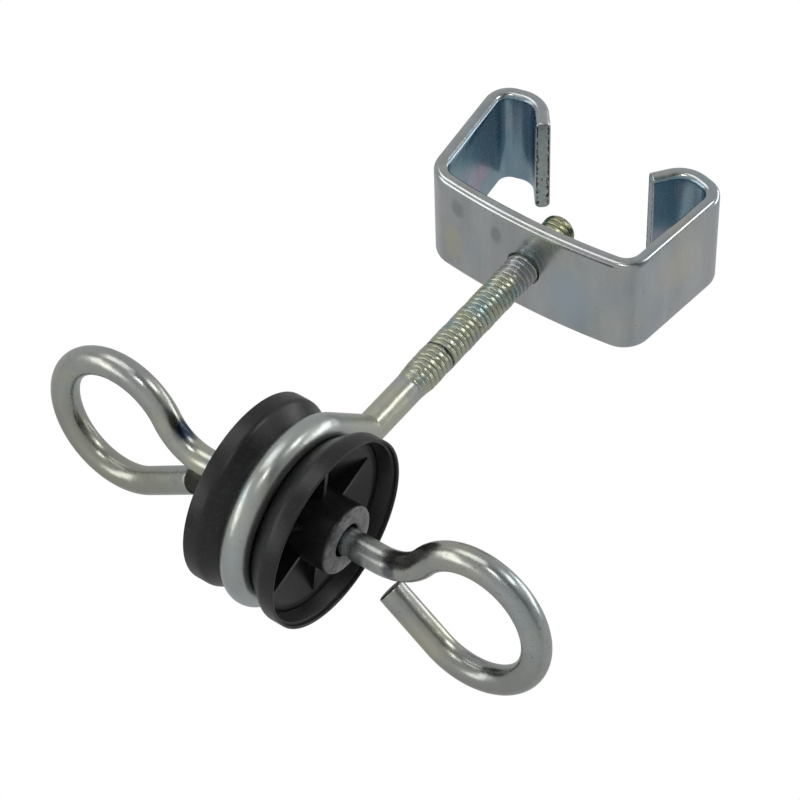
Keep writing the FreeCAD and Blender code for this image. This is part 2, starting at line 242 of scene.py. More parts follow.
class Shader:
    """A node material with a few shorthands for procedural patterns."""

    def __init__(self, name):
        self.material = bpy.data.materials.new(name)
        self.material.use_nodes = True
        self.tree = self.material.node_tree
        self.bsdf = self.tree.nodes["Principled BSDF"]
        self.uv = self.node("ShaderNodeUVMap", uv_map="along_round").outputs[0]
        self.place = self.node("ShaderNodeTexCoord").outputs["Object"]

    def node(self, kind, **settings):
        return add_node(self.tree, kind, **settings)

    def link(self, source, target):
        self.tree.links.new(source, target)

    def put(self, value, socket):
        """Link a node's output to the socket, or set a plain value on it."""
        if isinstance(value, bpy.types.NodeSocket):
            self.link(value, socket)
        else:
            socket.default_value = value

    def surface(self, colour, metallic, roughness):
        self.put(colour, self.bsdf.inputs["Base Color"])
        self.put(metallic, self.bsdf.inputs["Metallic"])
        self.put(roughness, self.bsdf.inputs["Roughness"])

    def mapped(self, source, scale, location):
        mapping = self.node("ShaderNodeMapping")
        self.link(source, mapping.inputs["Vector"])
        mapping.inputs["Scale"].default_value = scale
        mapping.inputs["Location"].default_value = location
        return mapping.outputs[0]

    def noise(self, source, scale, detail, roughness, stretch=(1, 1, 1), shift=(0, 0, 0)):
        noise = self.node("ShaderNodeTexNoise")
        self.link(self.mapped(source, stretch, shift), noise.inputs["Vector"])
        noise.inputs["Scale"].default_value = scale
        noise.inputs["Detail"].default_value = detail
        noise.inputs["Roughness"].default_value = roughness
        return noise.outputs["Fac"]

    def ramp(self, source, *stops):
        """Map a 0..1 value through (position, value) stops, where a value is a grey or a colour."""
        ramp = self.node("ShaderNodeValToRGB")
        self.link(source, ramp.inputs[0])
        fill_ramp(ramp, stops)
        return ramp.outputs[0]

    def mix(self, factor, first, second, blend="MIX"):
        mix = self.node("ShaderNodeMix", data_type="RGBA", blend_type=blend)
        for value, index in ((factor, 0), (first, 6), (second, 7)):
            if isinstance(value, tuple):
                value = (*value, 1)
            self.put(value, mix.inputs[index])
        return mix.outputs[2]

    def math(self, operation, *values):
        made = self.node("ShaderNodeMath", operation=operation)
        for value, socket in zip(values, made.inputs):
            self.put(value, socket)
        return made.outputs[0]

    def split(self, vector):
        made = self.node("ShaderNodeSeparateXYZ")
        self.link(vector, made.inputs[0])
        return made.outputs

    def spot(self, centre, reach, softness):
        """1 inside an oval patch, fading to 0. A reach of 0 ignores that axis."""
        shrink = [0.0 if size == 0 else 1 / (size * MM) for size in reach]
        shift = [-at * MM * share for at, share in zip(centre, shrink)]
        length = self.node("ShaderNodeVectorMath", operation="LENGTH")
        self.link(self.mapped(self.place, shrink, shift), length.inputs[0])
        distance = self.math("MULTIPLY", length.outputs["Value"], 0.5)
        wobble = self.math("MULTIPLY", self.noise(self.place, 420, 3, 0.6, shift=centre), 0.4)
        return self.ramp(self.math("ADD", distance, wobble), (0.5, 1.0), (0.5 + softness, 0.0))

    def bump(self, *layers):
        """Stack (height, depth) layers on the surface normal."""
        normal = None
        for height, depth in layers:
            bump = self.node("ShaderNodeBump")
            self.link(height, bump.inputs["Height"])
            bump.inputs["Distance"].default_value = depth * MM
            bump.inputs["Strength"].default_value = 1.0
            if normal is not None:
                self.link(normal, bump.inputs["Normal"])
            normal = bump.outputs[0]
        self.link(normal, self.bsdf.inputs["Normal"])


BLUE = (0.44, 0.55, 0.62)
YELLOW = (0.62, 0.61, 0.46)
PURPLE = (0.54, 0.46, 0.54)
SPECK = (0.10, 0.10, 0.09)
SMUDGE = (0.34, 0.37, 0.38)


def zinc(name, base, blue, yellow, purple, rough, streaks=0.0, grain=0.0005, speckle=0.35, wave=0.0, patches=()):
    """Zinc plate: satin metal with drifting blue, yellow and purple passivate tints, specks and fine grain.

    rough is the least and most roughness. streaks darkens lines across the piece, and wave adds broad dents.
    A patch is (centre, reach, colour, strength): some are tints and smudges, some are painted reflections and
    highlights.
    """
    s = Shader(name)
    broad = s.noise(s.place, 55, 3, 0.5, shift=(0.3, 0.1, 0.7))
    other = s.noise(s.place, 80, 4, 0.6, shift=(1.7, 2.2, 0.4))
    third = s.noise(s.place, 120, 4, 0.6, shift=(3.1, 0.2, 5.4))
    colour = s.mix(s.ramp(broad, (0.42, 0.0), (0.7, blue)), base, BLUE)
    colour = s.mix(s.ramp(other, (0.45, 0.0), (0.72, yellow)), colour, YELLOW)
    colour = s.mix(s.ramp(third, (0.52, 0.0), (0.75, purple)), colour, PURPLE)
    specks = s.noise(s.place, 1300, 3, 0.6)
    colour = s.mix(s.ramp(specks, (0.60, 0.0), (0.76, speckle)), colour, SPECK)
    clouds = s.noise(s.place, 260, 5, 0.65, shift=(0.9, 4.0, 2.0))
    level = s.ramp(clouds, (0.3, rough[0]), (0.7, rough[1]))
    fine = s.noise(s.place, 5200, 2, 0.5)
    layers = [(fine, grain), (clouds, grain * 2)]
    if wave:
        layers.append((s.noise(s.place, 150, 2, 0.5, shift=(6, 2, 8)), wave))
    if streaks:
        lines = s.noise(s.uv, 1.0, 5, 0.6, stretch=(1.6, 0.05, 1))
        wide = s.noise(s.uv, 1.0, 3, 0.5, stretch=(0.16, 0.03, 1), shift=(2, 7, 0))
        shade = s.ramp(lines, (0.3, 1 - streaks * 0.35), (0.7, 1.0))
        colour = s.mix(1.0, colour, shade, "MULTIPLY")
        shade = s.ramp(wide, (0.35, 1 - streaks * 0.8), (0.65, 1.0))
        colour = s.mix(1.0, colour, shade, "MULTIPLY")
        level = s.math("ADD", level, s.ramp(lines, (0.35, 0.0), (0.75, 0.10)))
        layers.append((lines, 0.002))
    for centre, reach, patch_colour, strength in patches:
        colour = s.mix(s.math("MULTIPLY", s.spot(centre, reach, 0.3), strength), colour, patch_colour)
    s.surface(colour, 1.0, level)
    s.bump(*layers)
    return s.material


def sheared(name):
    """A sheared end: duller, striped across the cut, with torn black pits along its two long edges."""
    s = Shader(name)
    stripes = s.noise(s.uv, 1.0, 5, 0.7, stretch=(2.6, 0.5, 1))
    pits = s.noise(s.uv, 1.0, 3, 0.65, stretch=(0.8, 1.7, 1), shift=(5, 3, 0))
    from_middle = s.math("ABSOLUTE", s.split(s.uv)[1])
    rim = s.ramp(s.math("MULTIPLY", from_middle, 0.5), (0.42, 0.0), (0.66, 0.20))
    torn = s.ramp(s.math("ADD", pits, rim), (0.635, 0.0), (0.665, 1.0))
    colour = s.mix(s.ramp(stripes, (0.35, 0.0), (0.7, 1.0)), (0.34, 0.40, 0.40), (0.56, 0.62, 0.60))
    colour = s.mix(torn, colour, (0.02, 0.02, 0.018))
    s.surface(colour, s.math("SUBTRACT", 1.0, torn), s.ramp(torn, (0.0, 0.38), (1.0, 0.8)))
    s.bump((stripes, 0.03), (s.ramp(torn, (0.0, 1.0), (1.0, 0.0)), 0.12))
    return s.material


def sawn(name):
    """A cropped rod end: dull yellow-grey with smeared darker patches."""
    s = Shader(name)
    smear = s.noise(s.uv, 0.5, 4, 0.6, stretch=(1.0, 0.4, 1))
    colour = s.mix(s.ramp(smear, (0.35, 0.0), (0.65, 1.0)), (0.20, 0.20, 0.17), (0.50, 0.49, 0.42))
    s.surface(colour, 0.9, s.ramp(smear, (0.3, 0.5), (0.7, 0.36)))
    s.bump((smear, 0.08), (s.noise(s.uv, 2.0, 4, 0.6), 0.03))
    return s.material


def thread_zinc(name):
    """The rolled thread: blue, olive and yellow passivate with violet by the web, and painted shade in the
    roots.
    """
    s = Shader(name)
    colour = s.ramp(
        s.noise(s.place, 170, 4, 0.65),
        (0.32, (0.36, 0.48, 0.47)),
        (0.44, (0.46, 0.52, 0.45)),
        (0.54, (0.52, 0.53, 0.38)),
        (0.63, (0.40, 0.46, 0.42)),
        (0.70, (0.44, 0.42, 0.44)),
    )
    x, y, z = s.split(s.place)
    height = s.math("MULTIPLY", z, 1 / MM)
    below_web = s.math("ABSOLUTE", s.math("ADD", height, 6.5))
    near_web = s.ramp(s.math("MULTIPLY", below_web, 0.2), (0.4, 0.55), (1.0, 0.0))
    colour = s.mix(near_web, colour, (0.50, 0.46, 0.54))
    tip = s.ramp(s.math("MULTIPLY", height, 0.1), (0.0, 0.0), (0.25, 0.8))
    colour = s.mix(tip, colour, (0.46, 0.46, 0.25))

    out = s.math("SQRT", s.math("ADD", s.math("POWER", x, 2.0), s.math("POWER", y, 2.0)))
    above_root = s.math("SUBTRACT", out, ROOT_RADIUS * MM)
    rise = s.math("DIVIDE", above_root, (CREST_RADIUS - ROOT_RADIUS) * MM)
    blotch_noise = s.noise(s.place, 620, 4, 0.65, shift=(2, 2, 2))
    # Painted shade: the thread's roots are darkened, broken up by noise, from a little past the runout.
    painted_root_shade = s.ramp(s.math("SUBTRACT", blotch_noise, rise), (0.10, 0.0), (0.55, 0.85))
    past_runout = s.math("MULTIPLY", s.math("SUBTRACT", height, THREAD_START), 0.1)
    painted_root_shade = s.math("MULTIPLY", painted_root_shade, s.ramp(past_runout, (0.25, 0.0), (0.6, 1.0)))
    colour = s.mix(painted_root_shade, colour, (0.08, 0.085, 0.07))
    spots = s.noise(s.place, 330, 4, 0.7, shift=(7, 1, 3))
    colour = s.mix(s.ramp(spots, (0.62, 0.0), (0.70, 0.75)), colour, (0.06, 0.06, 0.05))
    scar = s.math("ADD", s.math("ABSOLUTE", s.math("SUBTRACT", height, SCAR_Z)), blotch_noise)
    scar = s.ramp(s.math("MULTIPLY", scar, 0.5), (0.34, 0.95), (0.46, 0.0))
    colour = s.mix(scar, colour, (0.05, 0.05, 0.045))
    s.surface(colour, 1.0, s.ramp(blotch_noise, (0.3, 0.20), (0.7, 0.36)))
    dents = s.noise(s.place, 900, 3, 0.6, shift=(5, 5, 1))
    s.bump((dents, 0.10), (s.noise(s.place, 2600, 2, 0.5), 0.01))
    return s.material


def black_plastic(name):
    """Moulded black nylon: a fine leathery grain, pale dust, rubbed patches, and hub ends painted pale grey for
    wear and a painted sheen.
    """
    s = Shader(name)
    grain = s.noise(s.place, 1500, 4, 0.6)
    flow = s.noise(s.place, 160, 5, 0.6, shift=(4, 1, 9))
    rub = s.noise(s.place, 420, 5, 0.7, shift=(1, 8, 2))
    colour = s.mix(s.ramp(flow, (0.35, 0.0), (0.7, 1.0)), (0.004, 0.004, 0.0045), (0.009, 0.009, 0.0095))
    colour = s.mix(s.ramp(rub, (0.58, 0.0), (0.75, 0.4)), colour, (0.05, 0.05, 0.051))
    # The pale grey hub ends are partly wear and partly a painted sheen.
    for side in (1, -1):
        worn = s.spot((side * 14.8, 0, 0), (0.8, 0, 0), 0.25)
        worn = s.math("MULTIPLY", worn, s.ramp(rub, (0.36, 0.25), (0.62, 1.0)))
        colour = s.mix(worn, colour, (0.24, 0.24, 0.24))
    dust = s.noise(s.place, 1900, 2, 0.6, shift=(3, 3, 3))
    colour = s.mix(s.ramp(dust, (0.50, 0.0), (0.70, 0.32)), colour, (0.045, 0.045, 0.046))
    s.surface(colour, 0.0, s.ramp(flow, (0.3, 0.28), (0.7, 0.42)))
    s.bump((grain, 0.012), (rub, 0.02), (flow, 0.05))
    return s.material


# ---------------------------------------------------------------- clamp bracket


def strip_outline():
    """The strip's section as (across, up) points round its middle, with rounded edges."""
    half, thick = STRIP_WIDTH / 2, STRIP_THICKNESS / 2
    points = []
    for side, level, begin in ((1, 1, 90), (1, -1, 0), (-1, -1, -90), (-1, 1, 180)):
        across, up = side * (half - STRIP_EDGE), level * (thick - STRIP_EDGE)
        for step in range(STRIP_EDGE_STEPS + 1):
            angle = math.radians(begin - 90 * step / STRIP_EDGE_STEPS)
            points.append((across + STRIP_EDGE * math.cos(angle), up + STRIP_EDGE * math.sin(angle)))
    return points


def with_flats(points, spans):
    """Split the two broad sides between the rounded edges into even spans."""
    out = []
    for index, first in enumerate(points):
        second = points[(index + 1) % len(points)]
        out.append(first)
        pieces = spans if math.dist(first, second) > STRIP_THICKNESS else 1
        for part in range(1, pieces):
            share = part / pieces
            out.append(tuple(a + (b - a) * share for a, b in zip(first, second)))
    return out


def bracket_stations():
    """The middle of the strip from the left lip's end round to the right lip's end."""
    moves = [
        (WEB_HALF, WEB_BOW),
        bend(*FOOT_BEND),
        (WALL_LENGTH, 0),
        bend(*SHOULDER_BEND),
        (SHOULDER_LENGTH, 0),
        bend(*LIP_BEND),
        (LIP_LENGTH, 0),
    ]
    right = trace((0.0, -STRIP_THICKNESS / 2), 0.0, moves)
    left = [(-x, z, math.pi * 2 - heading, -run) for x, z, heading, run in right[:0:-1]]
    return left + right


def strip_section(x, z, heading, shape):
    normal = Vector((-math.sin(heading), 0, math.cos(heading)))
    middle = Vector((x, 0, z))
    return [middle + Vector((0, across, 0)) + normal * up for across, up in shape]


def make_bracket(materials):
    skin = Skin()
    outline = with_flats(strip_outline(), STRIP_SPANS)
    count = len(outline)
    rounds = [0.0]
    for index in range(count):
        rounds.append(rounds[-1] + math.dist(outline[index], outline[(index + 1) % count]))

    # Faces on the strip's inner side take material 1, a darker copy of the zinc painted as shade inside the
    # channel.
    def surface(index):
        middle_up = (outline[index][1] + outline[(index + 1) % count][1]) / 2
        return 1 if middle_up > STRIP_THICKNESS / 2 - INNER_FACE_BAND else 0

    stations = bracket_stations()
    rings = [skin.ring(strip_section(x, z, heading, outline)) for x, z, heading, _ in stations]
    for index in range(len(rings) - 1):
        first_run, second_run = stations[index][3], stations[index + 1][3]
        skin.wrap(rings[index], rings[index + 1], first_run, second_run, rounds, surface)
    for end, direction in ((0, -1), (-1, 1)):
        round_strip_end(skin, stations[end], direction, rings[end], outline, rounds)
    piece = skin.finish("clamp_bracket_strip", materials, 40)
    drill_hole(piece)
    return piece


def round_strip_end(skin, station, direction, last, outline, rounds):
    """Draw the last ring back, then close the strip with a small rounding and a flat sheared face."""
    x, z, heading, run = station
    back_x = x - direction * STRIP_END_ROUND * math.cos(heading)
    back_z = z - direction * STRIP_END_ROUND * math.sin(heading)
    for vertex, point in zip(last, strip_section(back_x, back_z, heading, outline)):
        vertex.co = point * MM
    for share in (0.25, 0.5, 0.75, 1.0):
        inset = STRIP_END_ROUND * (1 - math.cos(share * math.pi / 2))
        along = STRIP_END_ROUND * math.sin(share * math.pi / 2) - STRIP_END_ROUND
        narrow, thin = 1 - inset / (STRIP_WIDTH / 2), 1 - inset / (STRIP_THICKNESS / 2)
        scaled = [(across * narrow, up * thin) for across, up in outline]
        reach = direction * along
        centre = (x + reach * math.cos(heading), z + reach * math.sin(heading))
        ring = skin.ring(strip_section(*centre, heading, scaled))
        skin.wrap(last, ring, run, run + reach, rounds)
        last = ring
    skin.cap(last, scaled, 2)


def drill_hole(piece):
    """Bore the tapped hole through the web, with a small countersink on both faces."""
    wide, mouth, skim = HOLE_RADIUS + 3.3, HOLE_RADIUS + HOLE_SINK, 0.02
    levels = (
        (3.0, wide),
        (-skim, mouth),
        (-HOLE_SINK, HOLE_RADIUS),
        (HOLE_SINK - STRIP_THICKNESS, HOLE_RADIUS),
        (skim - STRIP_THICKNESS, mouth),
        (-6.5, wide),
    )
    cutter = Skin()
    rings = []
    for z, radius in levels:
        rings.append(cutter.ring(circle_points(Z_AXIS * z, X_AXIS, Y_AXIS, radius, HOLE_SIDES)))
    rounds = girth(HOLE_RADIUS, HOLE_SIDES)
    for index in range(len(rings) - 1):
        cutter.wrap(rings[index], rings[index + 1], levels[index][0], levels[index + 1][0], rounds)
    flat = [(0.0, 0.0)] * HOLE_SIDES
    cutter.cap(rings[0], flat)
    cutter.cap(rings[-1], flat, flip=True)
    tool = cutter.finish("hole_cutter", [], 30)
    add_boolean(piece, "hole", "DIFFERENCE", tool)
    bake_modifiers(piece)
    bpy.data.objects.remove(tool)
    piece.data.set_sharp_from_angle(angle=math.radians(30))


# ---------------------------------------------------------------- eye bolt


def clamped(value):
    return min(1.0, max(0.0, value))


def thread_radius(z, phase, angle):
    """The thread's radius at a height, a phase of 0..1 through the pitch, and an angle round the bolt."""
    share = abs(phase - 0.5) * 2
    rise = clamped((share - ROOT_FLAT) / FLANK)
    rise = rise * (1.6 - 0.6 * rise)
    worn = 0.04 * math.sin(3 * angle + 0.9 * z) + 0.03 * math.sin(7 * angle - 1.7 * z)
    radius = ROOT_RADIUS + (CREST_RADIUS - CREST_WEAR - ROOT_RADIUS) * rise + worn * rise
    scar = max(0.0, 1 - abs(z - SCAR_Z - 0.25 * math.sin(angle)) / SCAR_HALF_WIDTH)
    radius -= SCAR_DEPTH * scar
    fade = clamped((z - THREAD_START - 0.5 - 0.7 * math.sin(angle - 0.6)) / THREAD_RUNOUT)
    radius = BOLT_ROD + (radius - BOLT_ROD) * fade
    return min(radius, CREST_RADIUS - max(0.0, z - (BOLT_TOP - TIP_CHAMFER)) * CHAMFER_SLOPE)


def add_thread(skin):
    """The thread as a spiral grid: the last column of each turn joins the first column one pitch up."""
    layers = int((BOLT_TOP - THREAD_START) / PITCH * THREAD_STEPS) + THREAD_STEPS * 2
    rings = []
    for layer in range(layers + THREAD_STEPS + 1):
        points = []
        for index in range(BOLT_SIDES):
            angle = 2 * math.pi * index / BOLT_SIDES
            raw = THREAD_START - PITCH + (layer / THREAD_STEPS + index / BOLT_SIDES) * PITCH
            z = min(max(raw, THREAD_START), BOLT_TOP)
            radius = thread_radius(z, (layer / THREAD_STEPS) % 1.0, angle)
            if raw <= THREAD_START:
                radius = BOLT_ROD
            if raw >= BOLT_TOP:
                radius = CREST_RADIUS - TIP_CHAMFER
            points.append((radius * math.cos(angle), radius * math.sin(angle), z))
        rings.append(skin.ring(points))
    rounds = girth(CREST_RADIUS, BOLT_SIDES)
    flat = 1e-7  # metres: a quad this low lies beyond the thread's ends and is left out
    for layer in range(len(rings) - THREAD_STEPS - 1):
        low = THREAD_START + layer / THREAD_STEPS * PITCH
        high = low + 0.1
        for index in range(BOLT_SIDES):
            after, up = (index + 1, 0) if index + 1 < BOLT_SIDES else (0, THREAD_STEPS)
            corners = (
                rings[layer][index],
                rings[layer + up][after],
                rings[layer + 1 + up][after],
                rings[layer + 1][index],
            )
            heights = [vertex.co.z for vertex in corners]
            if max(heights) - min(heights) < flat:
                continue
            near, far = rounds[index], rounds[index + 1]
            skin.face(corners, ((low, near), (low, far), (high, far), (high, near)), 1)
    loose = [vertex for vertex in skin.mesh.verts if not vertex.link_faces]
    bmesh.ops.delete(skin.mesh, geom=loose, context="VERTS")


def add_tip(skin):
    """The flat end inside the chamfer: a threaded border, and a plain middle."""
    top = Z_AXIS * BOLT_TOP
    rim = skin.ring(circle_points(top, X_AXIS, Y_AXIS, CREST_RADIUS - TIP_CHAMFER, BOLT_SIDES))
    middle = skin.ring(circle_points(top, X_AXIS, Y_AXIS, CREST_RADIUS - TIP_BORDER, BOLT_SIDES))
    border = TIP_BORDER - TIP_CHAMFER
    skin.wrap(rim, middle, BOLT_TOP, BOLT_TOP + border, girth(CREST_RADIUS, BOLT_SIDES), 1)
    skin.cap(middle, [(vertex.co.x / MM, vertex.co.y / MM) for vertex in middle])


def add_ring(skin):
    """The plain rod below the thread: the shank, the neck, and the ring that closes against the shank."""
    neck_up = math.sqrt((RING_RADIUS + RING_NECK) ** 2 - RING_NECK**2)
    neck_turn = math.degrees(math.atan2(neck_up, RING_NECK))
    closing = RING_RADIUS  # a tangent that leaves at 45 degrees meets the shank's axis one radius on
    moves = [
        (THREAD_START - AXLE_Z - neck_up, 0),
        bend(RING_NECK, neck_turn),
        bend(RING_RADIUS, -(neck_turn + 180 + RING_LEAVE)),
        (closing, 0),
    ]
    path = trace((0.0, THREAD_START), -math.pi / 2, moves, 0.6)
    rounds = girth(BOLT_ROD, BOLT_SIDES)
    last, last_run = None, 0.0
    for y, z, heading, run in path:
        tangent = Vector((0, math.cos(heading), math.sin(heading)))
        out = Vector((0, -tangent.z, tangent.y))
        points = circle_points(Vector((0, y, z)), X_AXIS, out, BOLT_ROD, BOLT_SIDES)
        if run > path[-1][3] - closing:
            points = [stop_at_shank(point, tangent) for point in points]
        ring = skin.ring(points)
        if last is not None:
            skin.wrap(last, ring, -last_run, -run, rounds)
        last, last_run = ring, run
    skin.cap(last, [(vertex.co.x / MM, vertex.co.z / MM) for vertex in last])


def stop_at_shank(point, tangent):
    """Pull a point of the ring's closing end back along its line until it just enters the shank."""
    radius = BOLT_ROD - 0.02
    aim = math.sqrt(max(radius**2 - point.x**2, 0.0))
    if point.y > -aim:
        return point - tangent * ((point.y + aim) / tangent.y)
    return point


def make_bolt(materials):
    skin = Skin()
    add_thread(skin)
    add_tip(skin)
    add_ring(skin)
    return skin.finish("eye_bolt_rod", materials, 50)


# ---------------------------------------------------------------- axle rod


def make_axle(materials):
    """The rod from the left tail's end, round the left eye, through the wheel and round the right eye."""
    skin = Skin()
    out_dir = Vector((0, math.cos(EYE_TILT), math.sin(EYE_TILT)))
    normal = Vector((0, -math.sin(EYE_TILT), math.cos(EYE_TILT)))
    axle_line = Z_AXIS * AXLE_Z
    moves = [(AXLE_STRAIGHT, 0), bend(*EYE_NECK_BEND), bend(*EYE_BEND), (EYE_TAIL, 0)]
    right = trace((0.0, 0.0), 0.0, moves, 0.7)
    left = [(-x, y, 2 * math.pi - heading, -run) for x, y, heading, run in right[:0:-1]]
    sections = []
    for x, y, heading, run in left + right:
        tangent = Vector((math.cos(heading), 0, 0)) + out_dir * math.sin(heading)
        middle = axle_line + Vector((x, 0, 0)) + out_dir * y
        points = circle_points(middle, normal.cross(tangent), normal, AXLE_ROD, AXLE_SIDES)
        sections.append((points, tangent, run))
    rings = [skin.ring(points) for points, _, _ in sections]
    rounds = girth(AXLE_ROD, AXLE_SIDES)
    for index in range(len(rings) - 1):
        skin.wrap(rings[index], rings[index + 1], sections[index][2], sections[index + 1][2], rounds)
    for end, direction in ((0, -1), (-1, 1)):
        close_rod(skin, sections[end], direction, rings[end], normal, rounds)
    return skin.finish("axle_rod_eyes", materials, 40)


def close_rod(skin, section, direction, last, normal, rounds):
    """Round the rod off to a slightly sloping cut end."""
    points, tangent, run = section
    middle = sum(points, Vector()) / AXLE_SIDES
    for along, share in CUT_STEPS:
        shape = []
        for point in points:
            offset = (point - middle) * share
            tilt = CUT_LEAN * offset.dot(normal)
            shape.append(middle + offset + tangent * direction * (along + tilt * along))
        ring = skin.ring(shape)
        skin.wrap(last, ring, run, run + direction * along, rounds)
        last = ring
    side = tangent.cross(normal)
    offsets = [vertex.co / MM - middle for vertex in last]
    skin.cap(last, [(offset.dot(normal), offset.dot(side)) for offset in offsets], 1)


# ---------------------------------------------------------------- pulley wheel


def rounded(corners, steps=4):
    """Round an open profile. A corner is (point, radius), where a radius of 0 keeps it sharp."""
    out = [corners[0][0]]
    for index in range(1, len(corners) - 1):
        before, here, after = (Vector(corners[at][0]) for at in (index - 1, index, index + 1))
        radius = corners[index][1]
        if not radius:
            out.append(tuple(here))
            continue
        first, second = (before - here), (after - here)
        reach = min(radius, first.length * 0.45, second.length * 0.45)
        start, end = here + first.normalized() * reach, here + second.normalized() * reach
        for step in range(steps + 1):
            share = step / steps
            out.append(tuple(start.lerp(here, share).lerp(here.lerp(end, share), share)))
    out.append(corners[-1][0])
    return out


def wheel_profile():
    """Half of the wheel's section as (out from the middle plane, radius), bore to groove root."""
    profile = rounded([
        ((0.0, BORE_RADIUS), 0),
        ((14.1, BORE_RADIUS), 0),
        ((HUB_END, BORE_RADIUS + 0.45), 0.3),
        ((HUB_END, HUB_RADIUS), 1.1),
        ((3.4, HUB_RADIUS), 0.7),
        ((SHELF, 18.0), 0.5),
        ((SHELF, 19.45), 0.12),
        ((7.1, 19.55), 0.1),
        ((7.1, 19.8), 0.1),
        ((SHELF, 19.9), 0.12),
        ((10.7, 20.9), 0.2),
        ((10.7, 21.25), 0.1),
        ((11.4, 21.35), 0.12),
        ((11.7, 21.5), 0.1),
        ((11.7, WHEEL_RADIUS), 0.35),
        ((7.8, WHEEL_RADIUS), 0.8),
        ((GROOVE_RADIUS + 0.02, RING_RADIUS), 0),
    ])
    for step in range(GROOVE_STEPS + 1):
        angle = math.pi / 2 * step / GROOVE_STEPS
        profile.append((GROOVE_RADIUS * math.cos(angle), RING_RADIUS - GROOVE_RADIUS * math.sin(angle)))
    return profile


def make_wheel(materials):
    skin = Skin()
    half = wheel_profile()
    whole = half + [(-x, radius) for x, radius in half[-2:0:-1]]
    rounds = girth(WHEEL_RADIUS, WHEEL_SIDES)
    rings = [skin.ring(circle_points(X_AXIS * x, Y_AXIS, Z_AXIS, radius, WHEEL_SIDES)) for x, radius in whole]
    rings.append(rings[0])
    run = 0.0
    for index, here in enumerate(whole):
        next_run = run + math.dist(here, whole[(index + 1) % len(whole)])
        skin.wrap(rings[index], rings[index + 1], run, next_run, rounds)
        run = next_run
    wheel = skin.finish("pulley_wheel_moulding", materials, 32)
    blocks = []
    for side in (1, -1):
        for index in range(RIB_COUNT):
            blocks.append(rib_block(side, RIB_START + 2 * math.pi * index / RIB_COUNT))
            add_boolean(wheel, "rib", "UNION", blocks[-1])
    bake_modifiers(wheel)
    for block in blocks:
        bpy.data.objects.remove(block)
    wheel.data.set_sharp_from_angle(angle=math.radians(32))
    wheel.data.transform(Matrix.Translation((0, 0, AXLE_Z * MM)))
    return wheel


def rib_block(side, angle):
    """A tapered gusset between hub and shelf, sunk a little into both."""
    outward = Vector((0, math.cos(angle), math.sin(angle)))
    across = Vector((0, -math.sin(angle), math.cos(angle)))
    corners = [  # (out from the middle plane, radius, half thickness)
        (2.2, 7.3, RIB_FOOT),
        (7.25, 7.3, RIB_FOOT * 0.9),
        (SHELF, 7.3, RIB_CREST),
        (SHELF, 17.6, RIB_CREST),
        (7.1, 18.2, RIB_FOOT * 0.9),
        (6.4, 18.2, RIB_FOOT),
    ]
    skin = Skin()
    rings = []
    for sign in (1, -1):
        points = [X_AXIS * (side * x) + outward * r + across * sign * half for x, r, half in corners]
        rings.append(skin.ring(points))
    skin.wrap(rings[0], rings[1], 0, 1, list(range(len(corners) + 1)))
    places = [(x, radius) for x, radius, _ in corners]
    skin.cap(rings[0], places)
    skin.cap(rings[1], places, flip=True)
    return skin.finish(f"rib_block_{side + 1}_{math.degrees(angle):.0f}", [], 20)


# ---------------------------------------------------------------- pieces on their bodies

outer_patches = (
    ((-18.5, -7.5, 0), (1.9, 2.6, 0), SMUDGE, 0.8),
    ((-7.5, -6.2, 0), (1.5, 2.6, 0), SMUDGE, 0.85),
    ((-20.0, 4.0, 0), (3.0, 6.0, 0), YELLOW, 0.5),
    ((12.0, 2.0, 0), (6.0, 9.0, 0), BLUE, 0.6),
    # A darker green patch beside the hole: a painted reflection of the bolt in the web.
    ((2.5, -5.5, 0), (3.2, 5.5, 0), (0.34, 0.43, 0.42), 0.6),
    ((0, -3.0, 16.0), (0, 6.0, 7.0), YELLOW, 0.35),
)
inner_patches = (
    ((0, 3.0, 17.0), (0, 4.5, 5.0), (0.50, 0.34, 0.44), 0.55),
    ((0, -8.0, 10.0), (0, 3.0, 6.0), (0.30, 0.50, 0.52), 0.6),
    ((16.0, 6.0, 0), (5.0, 4.0, 0), (0.46, 0.36, 0.46), 0.4),
)
bolt_patches = (((0, 0, -56.0), (0, 0, 7.0), YELLOW, 0.6),)
axle_patches = (
    ((-50.0, 14.0, 0), (26.0, 14.0, 0), (0.42, 0.42, 0.35), 0.8),
    ((50.0, 14.0, 0), (26.0, 14.0, 0), (0.37, 0.38, 0.36), 0.7),
    # The next two dark blue-black patches on the eyes' necks are painted reflections of the black wheel.
    ((-29.5, -5.0, -87.2), (3.0, 2.8, 2.6), (0.04, 0.055, 0.09), 0.95),
    ((27.0, -1.5, 0), (1.6, 2.4, 0), (0.10, 0.11, 0.15), 0.75),
    # A lighter yellow patch on the left neck: a painted highlight.
    ((-24.0, -1.0, 0), (3.0, 3.0, 0), YELLOW, 0.6),
    ((34.0, 14.0, 0), (9.0, 5.0, 0), YELLOW, 0.5),
)
outer_zinc = zinc(
    "zinc_bracket_outside", (0.58, 0.61, 0.61), 0.6, 0.35, 0.2, (0.12, 0.22), streaks=0.16, patches=outer_patches
)
